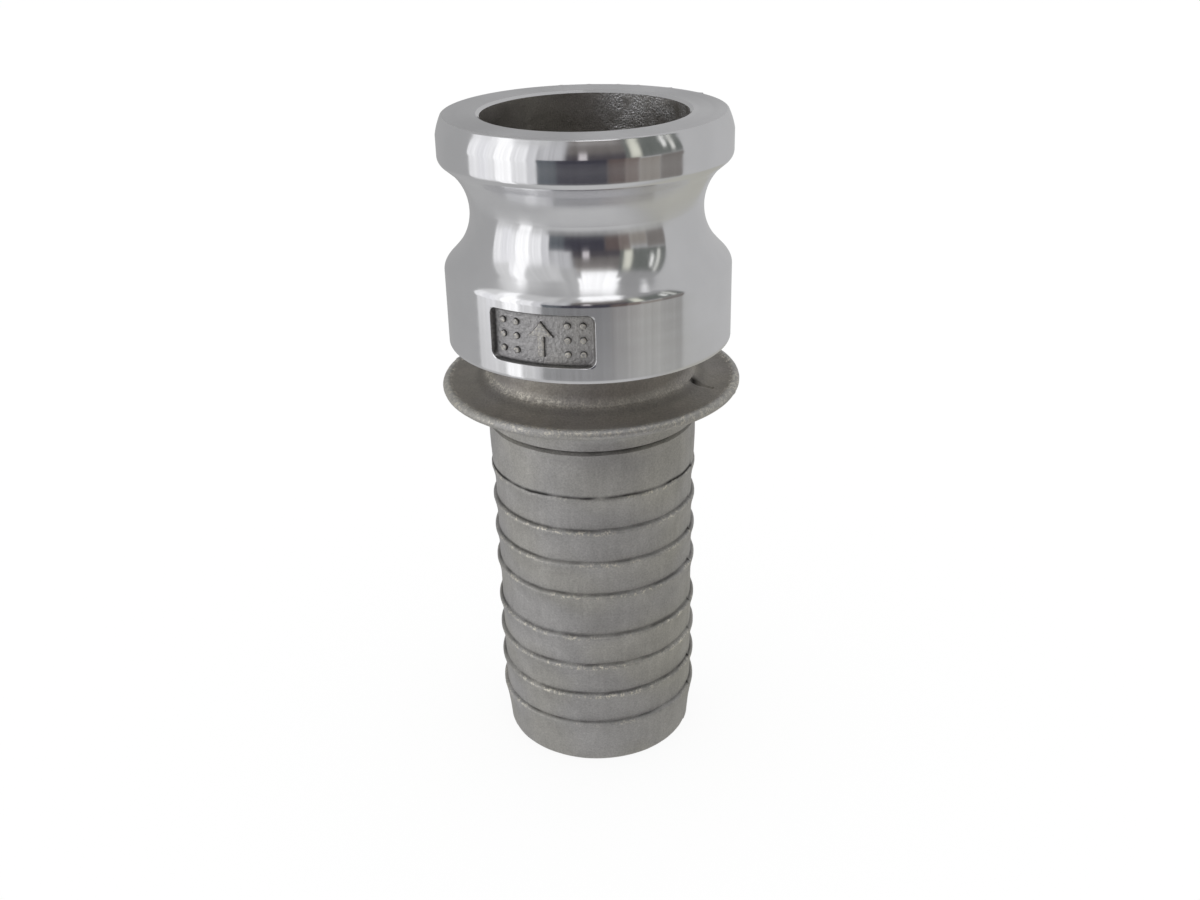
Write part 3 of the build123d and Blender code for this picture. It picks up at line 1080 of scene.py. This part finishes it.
class CAMLOCK_OT_crimp_collar(bpy.types.Operator):
    """Builds the dished collar that the crimped ferrule locks on"""

    bl_idname = "camlock.crimp_collar"
    bl_label = "Crimp Collar"

    def execute(self, context):
        shank = context.scene.camlock_shank
        foot, top, rim = LOW["crimp_collar"], HIGH["crimp_collar"], RADIUS["crimp_collar"]
        root, hub = shank.crest - shank.root, shank.crest + 0.25 * MM
        bead, fillet = shank.bead, 2.4 * MM
        # The cone under the dish runs from the hub's fillet to the bead on a common tangent
        centre = np.array([rim - bead, foot + 7.25 * MM])
        corner = np.array([hub, foot + 3.5 * MM])
        reach = centre - corner
        slope = math.atan2(reach[1], reach[0]) - math.asin(bead / np.linalg.norm(reach))
        turn = math.radians(90) - slope
        setback = fillet * math.tan(turn / 2)
        fillet_foot = (hub, corner[1] - setback)
        fillet_top = corner + setback * np.array([math.cos(slope), math.sin(slope)])
        bead_foot = centre + bead * np.array([math.sin(slope), -math.cos(slope)])
        wrap = math.radians(115)
        angles = np.linspace(slope - math.radians(90), wrap, 17)
        bead_points = centre + bead * np.stack([np.cos(angles), np.sin(angles)], -1)
        dish_foot = (shank.neck_foot, top)
        strips = (
            (run((root, foot), (hub, foot + 0.6 * MM), 5), BLASTED),
            (run((hub, foot + 0.6 * MM), fillet_foot, 2), BLASTED),
            (run(fillet_foot, fillet_top, 10, -fillet * (1 - math.cos(turn / 2))), BLASTED),
            (run(fillet_top, bead_foot, 12), BLASTED),
            (bead_points, BLASTED),
            (run(bead_points[-1], dish_foot, 22, -0.9 * MM), AS_CAST),
            (run(dish_foot, (shank.bore, top), 1), BORE_CAST),
            (run((shank.bore, top), (shank.bore, foot), 10), BORE_CAST),
            (run((shank.bore, foot), (root, foot), 1), BORE_CAST),
        )
        shape = cast_shape("crimp_collar", 0.04 * MM)
        crack_azimuth, crack_depth = math.radians(87.6), 0.6 * MM
        crack_start, crack_end, mouth_end = shank.neck_foot, 24.3 * MM, 22.8 * MM

        def cracked(radius, height, azimuth):
            """A cold shut in the dish near a parting line, from the neck part way out, wide at
            the neck."""
            dished = (height > foot + 6.5 * MM) & (radius > crack_start) & (radius < crack_end)
            wander = math.radians(0.5) * np.sin(radius / (0.9 * MM))
            mouth = np.clip((mouth_end - radius) / (mouth_end - crack_start), 0, 1)
            spread = np.radians(0.5 + 1.6 * mouth)
            crack = near(azimuth - crack_azimuth - wander, 0, spread) * dished
            radius, height = shape(radius, height, azimuth)
            return radius, height - crack * crack_depth

        rim_rubs_and_highlights = edge_rubs_and_highlights([foot + 7.8 * MM], 0.9 * MM, 1.1, 3.0, rim - 1.7 * MM, 0.6)
        root_shade = ledge_shade([foot + 0.1 * MM], 0.35 * MM, 0.7)
        upper_side = foot + 6 * MM

        def rubbed(radius, height, azimuth):
            """Bright grains on the rim, rubbed metal with painted highlights, and painted highlights in the
            corner between the neck and the dish.
            """
            corner = near(radius, shank.neck_foot, 0.3 * MM) * (height > upper_side)
            return rim_rubs_and_highlights(radius, height, azimuth) + corner * foot_highlight_grains(radius, height, azimuth)

        def shaded(radius, height, azimuth):
            """Painted shade at the root, round the neck and in the crack's mouth, and more painted shade
            on the dish towards the sides and the back."""
            dished = (height > upper_side) & (radius < rim - MM)
            wedge = near(azimuth, crack_azimuth, math.radians(3)) * near(radius, 20.4 * MM, 0.9 * MM)
            under_neck = 0.22 * near(radius, 21.4 * MM, 0.9 * MM)
            # More painted shade on the dish towards the sides and the back, most on the left
            sides = 0.15 * np.sin(azimuth / 2) ** 2 + 0.14 * np.clip(-np.sin(azimuth), 0, 1)
            return root_shade(radius, height, azimuth) + dished * (sides + under_neck + wedge)

        lathe("crimp_collar", strips, cracked, rubbed, shaded)
        return {"FINISHED"}


# What each barb has above its foot: its land, its nose and the ledge that bites the hose
LAND, LEDGE = 0.4 * MM, 0.45 * MM
FALL, FALL_DEPTH = 3.7 * MM, 0.6 * MM


def barb_top(crest_radius, valley, crest):
    """A barb's land, its rounded nose and the ledge above it."""
    shoulder = (crest_radius, crest - 0.12 * MM)
    nose = (crest_radius - 0.05 * MM, crest + 0.02 * MM)
    return (
        (run((crest_radius, crest - LAND), shoulder, 2), BLASTED),
        (run(shoulder, nose, 2, 0.02 * MM), BLASTED),
        (run(nose, (valley, crest + LEDGE), 4), BLASTED),
    )


def barb_paint(crests, shaded):
    """Rubbed noses with painted highlights for the barbs, and painted shade in the corners over the ledges
    of the shaded ones.
    """
    crest_rubs_and_highlights = edge_rubs_and_highlights([crest - 0.1 * MM for crest in crests], 0.28 * MM, 1.5, 7.0)
    return crest_rubs_and_highlights, ledge_shade([crest + 0.36 * MM for crest in shaded], 0.2 * MM, 0.75)


class CAMLOCK_OT_hose_shank(bpy.types.Operator):
    """Builds the shank with its two groups of hose barbs"""

    bl_idname = "camlock.hose_shank"
    bl_label = "Hose Shank"

    def execute(self, context):
        shank = context.scene.camlock_shank
        foot, top = LOW["hose_shank"], HIGH["hose_shank"]
        first = foot - LEDGE
        crests = [first + shank.lower_pitch * k for k in (1, 2, 3)]
        crests += [shank.upper_start + shank.upper_pitch * k for k in range(4)]
        strips, at = [], (shank.valley, foot)
        for crest in crests:
            valley = shank.crest - 0.25 * MM if crest == crests[-1] else shank.valley
            fall_foot = (shank.crest - FALL_DEPTH, crest - FALL)
            strips.append((run(at, fall_foot, 8), BLASTED))
            strips.append((run(fall_foot, (shank.crest, crest - LAND), 12, -0.1 * MM), BLASTED))
            strips.extend(barb_top(shank.crest, valley, crest))
            at = (valley, crest + LEDGE)
        seat_full, seat_edge = (shank.crest, at[1] + 5.4 * MM), (shank.crest, top - 0.45 * MM)
        root = (shank.crest - shank.root, top)
        strips += [
            (run(at, seat_full, 12), BLASTED),
            (run(seat_full, seat_edge, 8), BLASTED),
            (run(seat_edge, root, 3), BLASTED),
            (run(root, (shank.bore, top), 1), BORE_CAST),
            (run((shank.bore, top), (shank.bore, foot), 40), BORE_CAST),
            (run((shank.bore, foot), (shank.valley, foot), 1), BORE_CAST),
        ]
        shape = cast_shape("hose_shank", 0.035 * MM, 0.12 * MM)
        # The last ledge is shallow, so its painted corner shade counts twice
        crest_rubs_and_highlights, shade = barb_paint(crests, (*crests, crests[-1]))
        lathe("hose_shank", strips, shape, crest_rubs_and_highlights, shade)
        return {"FINISHED"}


class CAMLOCK_OT_shank_nose(bpy.types.Operator):
    """Builds the tapered end of the shank, with the first barb"""

    bl_idname = "camlock.shank_nose"
    bl_label = "Shank Nose"

    def execute(self, context):
        shank = context.scene.camlock_shank
        top = HIGH["shank_nose"]
        crest = top - LEDGE
        end, edge, bore_edge = shank.crest - 1.15 * MM, 0.8 * MM, 0.3 * MM
        edge_bulge = edge * (1 - math.cos(math.radians(45)))
        strips = (
            (run((end - edge, 0), (end, edge), 8, edge_bulge), BLASTED),
            (run((end, edge), (shank.crest, crest - LAND), 24, -0.18 * MM), BLASTED),
            *barb_top(shank.crest, shank.valley, crest),
            (run((shank.valley, top), (shank.bore, top), 1), BORE_CAST),
            (run((shank.bore, top), (shank.bore, bore_edge), 16), BORE_CAST),
            (run((shank.bore, bore_edge), (shank.bore + bore_edge, 0), 2), BLASTED),
            (run((shank.bore + bore_edge, 0), (end - edge, 0), 3), BLASTED),
        )
        shape = cast_shape("shank_nose", 0.035 * MM, 0.1 * MM)
        crest_rubs_and_highlights, shade = barb_paint([crest], [crest])
        lathe("shank_nose", strips, shape, crest_rubs_and_highlights, shade)
        return {"FINISHED"}


# ---------------------------------------------------------------- stage


# What the bright metal sees round it: a light tent, open towards the room. Each card is its
# azimuth span from the camera's side, its elevation span, its colour and its soft edges, all
# in degrees. Later cards cover earlier ones.
TENT = (
    ("sheet_left", (-181, 181), (-91, 91), "#9D9D9D", 0.1, 0.1),
    ("sheet_right", (77, 181), (-91, 91), "#AEAEAE", 0.6, 3),
    ("table_left", (-181, 181), (-91, -24), "#A4A4A4", 0.1, 6),
    ("table_right", (68, 181), (-91, -24), "#A6A59E", 40, 6),
    ("table_glare", (-50, 50), (-80, -24), "#B4B4B4", 40, 10),
    ("room_high", (-37, 77), (8, 91), "#6E6E6E", 0.6, 1),
    ("room_high_left", (-38, -14), (6, 48), "#B4B4B6", 14, 10),
    ("room_high_middle", (-14, 35), (16, 47), "#6B6765", 6, 8),
    ("room_high_glow", (-14, 25), (38, 50), "#A8A4A0", 8, 8),
    ("room_middle", (-15, 35), (5, 19), "#4A474B", 6, 9),
    ("room_high_right", (30, 77), (8, 48), "#636663", 3, 2),
    ("ceiling", (-37, 77), (42, 91), "#8E8E8E", 0.6, 8),
    ("ceiling_left", (-37, -12), (36, 72), "#A8A8A8", 5, 6),
    ("ceiling_lamp", (-8, 31), (43, 71), "#FFFFFF", 3, 2),
    ("ceiling_lamp_wide", (-13, 38), (54, 71), "#FFFFFF", 4, 3),
    ("shelf_lamp", (34, 42), (9, 40), "#CBCBBF", 4, 12),
    ("door_lamp", (-5, 1), (8, 21), "#C6C1C3", 3, 7),
    ("small_lamp", (61, 64.5), (18, 36), "#EDEDEA", 1, 4),
    ("corner_lamp", (67, 74), (56, 62), "#FFFFFF", 2, 3),
    ("small_lamp_low", (67.5, 71), (12, 42), "#CDCDC8", 1.5, 4),
    ("room_cool", (-37, -20), (-17, 7), "#575B60", 3, 1.2),
    ("room_dark", (-22, 17), (-17, 8), "#3B3A42", 4, 1.2),
    ("room_warm", (16, 30), (-17, 8), "#5A504E", 3, 1.2),
    ("room_brown", (29, 40), (-17, 9), "#6F6662", 3, 1.2),
    ("room_light", (40, 57), (-17, 2), "#85807A", 3, 3),
    ("room_edge", (57, 77), (-17, 6), "#706C69", 3, 3),
    ("window", (-98, -37), (-20, 50), "#E9E9EA", 0.6, 22),
    ("window_left", (-98, -78), (24, 62), "#CACACA", 0.8, 8),
    ("window_pale", (-88, -78), (-20, 22), "#DEDEE0", 1.5, 6),
    ("window_sun", (-71.5, -57), (-20, 54), "#FFFFFF", 1.5, 14),
    ("window_frame", (-44, -37), (-20, 40), "#C6C6C8", 2.5, 16),
    ("window_high", (-56, -30), (30, 58), "#BDBDBD", 6, 14),
    ("window_foot", (-98, -44), (-27, -19.5), "#C6C6C6", 0.8, 3),
    ("window_foot_sun", (-70, -56), (-30, -19), "#FFFFFF", 3, 4),
    ("room_foot", (-40, 77), (-25, -17.5), "#838383", 8, 1.2),
    ("room_foot_right", (26, 77), (-25, -17.5), "#A2A29F", 44, 1.2),
)
# How much brighter the tent is than its colours, so that the lamps burn out
LAMP_GAIN = 1.13


def smooth_step(value, start, width):
    """0 below start, rising smoothly to 1 over the width."""
    share = np.clip((value - start) / width + 0.5, 0, 1)
    return share * share * (3 - 2 * share)


def tent_glow(azimuth, elevation):
    """Colour of the light tent towards each direction, in degrees, with faint upright pleats."""
    # The window stands close by, so its uprights lean out higher up
    window_left, window_right, lean, lean_height = -98, -37, 16, 36
    inside = np.clip((window_right - azimuth) / (window_right - window_left), 0, 1)
    leaning = smooth_step(elevation, lean_height, lean_height)
    azimuth = azimuth + lean * np.sin(math.pi * inside) * leaning
    total = np.zeros((*azimuth.shape, 3))
    for _, (left, right), (low, high), code, side_soft, end_soft in TENT:
        cover = smooth_step(azimuth, left, side_soft) * (1 - smooth_step(azimuth, right, side_soft))
        cover *= smooth_step(elevation, low, end_soft) * (1 - smooth_step(elevation, high, end_soft))
        total += cover[..., None] * (np.array(linear(code)) - total)
    # Pleats of three widths, in degrees, each with its strength
    widths = ((0.55, 0.5), (1.3, 0.9), (3.1, 0.6))
    pleats = [sum(deep * noise.noise((a / w, w, 0)) for w, deep in widths) for a in azimuth[0]]
    pleated = (azimuth > -97) & (azimuth < 76) & (elevation > -26)
    depth = np.where(azimuth < -20, 0.2, 0.13)
    total *= (1 + depth * np.array(pleats)[None] * pleated)[..., None]
    return total * LAMP_GAIN


def light_tent(settings):
    """The dome that the metal mirrors, with its colours painted on its points. Only glossy rays
    see it."""
    reach, middle = 1.6, 0.1
    azimuth = np.arange(-180, 180, 0.25)
    elevation = np.linspace(-90, 90, 121)
    a, e = np.meshgrid(np.radians(azimuth) + settings.camera_azimuth, np.radians(elevation))
    points = np.stack([np.sin(a) * np.cos(e), -np.cos(a) * np.cos(e), np.sin(e)], -1).reshape(-1, 3)
    points = points * reach + [0, 0, middle]
    i, j = np.meshgrid(np.arange(len(elevation) - 1), np.arange(len(azimuth)), indexing="ij")
    here, above, right = i * len(azimuth), (i + 1) * len(azimuth), (j + 1) % len(azimuth)
    faces = np.stack([here + j, above + j, above + right, here + right], -1).reshape(-1, 4)
    mesh = bpy.data.meshes.new("light_tent")
    mesh.from_pydata(points.tolist(), [], faces.tolist())
    glow = tent_glow(*np.meshgrid(azimuth, elevation)).reshape(-1, 3)
    paint = mesh.attributes.new("glow", "FLOAT_VECTOR", "POINT")
    paint.data.foreach_set("vector", glow.ravel().astype(np.float32))
    material, tree, out = blank("light_tent_fabric")
    value = add(tree, "ShaderNodeAttribute", attribute_name="glow").outputs["Vector"]
    light = add(tree, "ShaderNodeEmission", {"Color": value})
    tree.links.new(light.outputs[0], out.inputs["Surface"])
    material.cycles.emission_sampling = "NONE"
    mesh.materials.append(material)
    dome = bpy.data.objects.new("light_tent", mesh)
    bpy.context.scene.collection.objects.link(dome)
    dome.visible_camera = dome.visible_diffuse = dome.visible_shadow = False
    dome.visible_transmission = dome.visible_volume_scatter = False


def pale_floor(settings):
    """A pale acrylic floor, lit a little from below so that shadows stay faint."""
    span, gap = 30.0, 0.02 * MM
    mesh = bpy.data.meshes.new("floor")
    corners = [(-span, -span, 0), (span, -span, 0), (span, span, 0), (-span, span, 0)]
    mesh.from_pydata(corners, [], [(0, 1, 2, 3)])
    material, tree, out = blank("pale_acrylic")
    tint, lit_share = (*settings.floor, 1.0), 0.88
    sheet = add(tree, "ShaderNodeBsdfDiffuse", {"Color": tint})
    glow = add(tree, "ShaderNodeEmission", {"Color": tint, "Strength": 1.05})
    mixed = add(tree, "ShaderNodeMixShader", {0: lit_share, 1: sheet.outputs[0], 2: glow.outputs[0]})
    tree.links.new(mixed.outputs[0], out.inputs["Surface"])
    mesh.materials.append(material)
    floor = bpy.data.objects.new("floor", mesh)
    bpy.context.scene.collection.objects.link(floor)
    floor.location.z = -gap
    floor.visible_glossy = False


class CAMLOCK_OT_stage(bpy.types.Operator):
    """Builds the floor, the soft light and the camera"""

    bl_idname = "camlock.stage"
    bl_label = "Stage"

    def execute(self, context):
        scene = context.scene
        settings = scene.camlock_stage
        pale_floor(settings)
        light_tent(settings)
        world = bpy.data.worlds.new("studio")
        world.use_nodes = True
        world.node_tree.nodes.clear()
        sky = add(world.node_tree, "ShaderNodeBackground", {"Color": (1, 1, 1, 1), "Strength": 1.08})
        out = add(world.node_tree, "ShaderNodeOutputWorld")
        world.node_tree.links.new(sky.outputs[0], out.inputs["Surface"])
        world.cycles_visibility.glossy = False
        scene.world = world
        lens = bpy.data.cameras.new("camera")
        lens.lens = settings.lens
        lens.sensor_width = 36
        lens.clip_start = 0.01
        camera = bpy.data.objects.new("camera", lens)
        scene.collection.objects.link(camera)
        azimuth = settings.camera_azimuth
        place = Vector((math.sin(azimuth), -math.cos(azimuth), 0)) * settings.camera_distance
        place.z = settings.camera_height
        turn = Matrix.Rotation(azimuth - settings.camera_yaw, 4, "Z")
        turn @= Matrix.Rotation(math.radians(90) - settings.camera_pitch, 4, "X")
        turn @= Matrix.Rotation(settings.camera_roll, 4, "Z")
        camera.matrix_world = Matrix.Translation(place) @ turn
        scene.camera = camera
        scene.view_settings.view_transform = "Standard"
        return {"FINISHED"}


# ---------------------------------------------------------------- add-on


OPERATORS = (
    CAMLOCK_OT_cam_lip,
    CAMLOCK_OT_cam_groove,
    CAMLOCK_OT_body_band,
    CAMLOCK_OT_flow_mark,
    CAMLOCK_OT_ferrule_neck,
    CAMLOCK_OT_crimp_collar,
    CAMLOCK_OT_hose_shank,
    CAMLOCK_OT_shank_nose,
    CAMLOCK_OT_stage,
)
SETTINGS = {
    "camlock_head": HeadSizes,
    "camlock_shank": ShankSizes,
    "camlock_finishes": Finishes,
    "camlock_stage": StageSettings,
}


class CAMLOCK_PT_adapter(bpy.types.Panel):
    """Lists the adapter's pieces and their settings"""

    bl_idname = "CAMLOCK_PT_adapter"
    bl_label = "Camlock Hose Adapter"
    bl_space_type = "VIEW_3D"
    bl_region_type = "UI"
    bl_category = "Camlock"

    def draw(self, context):
        for key, group in SETTINGS.items():
            box = self.layout.box()
            for name in group.__annotations__:
                box.prop(getattr(context.scene, key), name)
        for operator in OPERATORS:
            self.layout.operator(operator.bl_idname)


def register():
    """Registers the settings, the operators and the panel."""
    for key, group in SETTINGS.items():
        bpy.utils.register_class(group)
        setattr(bpy.types.Scene, key, PointerProperty(type=group))
    for made in (*OPERATORS, CAMLOCK_PT_adapter):
        bpy.utils.register_class(made)


def unregister():
    """Takes them away again."""
    for made in (CAMLOCK_PT_adapter, *reversed(OPERATORS)):
        bpy.utils.unregister_class(made)
    for key, group in reversed(SETTINGS.items()):
        delattr(bpy.types.Scene, key)
        bpy.utils.unregister_class(group)


def main():
    """Registers the add-on and builds every piece and the stage."""
    register()
    for operator in OPERATORS:
        group, name = operator.bl_idname.split(".")
        getattr(getattr(bpy.ops, group), name)()


if __name__ == "__main__":
    main()
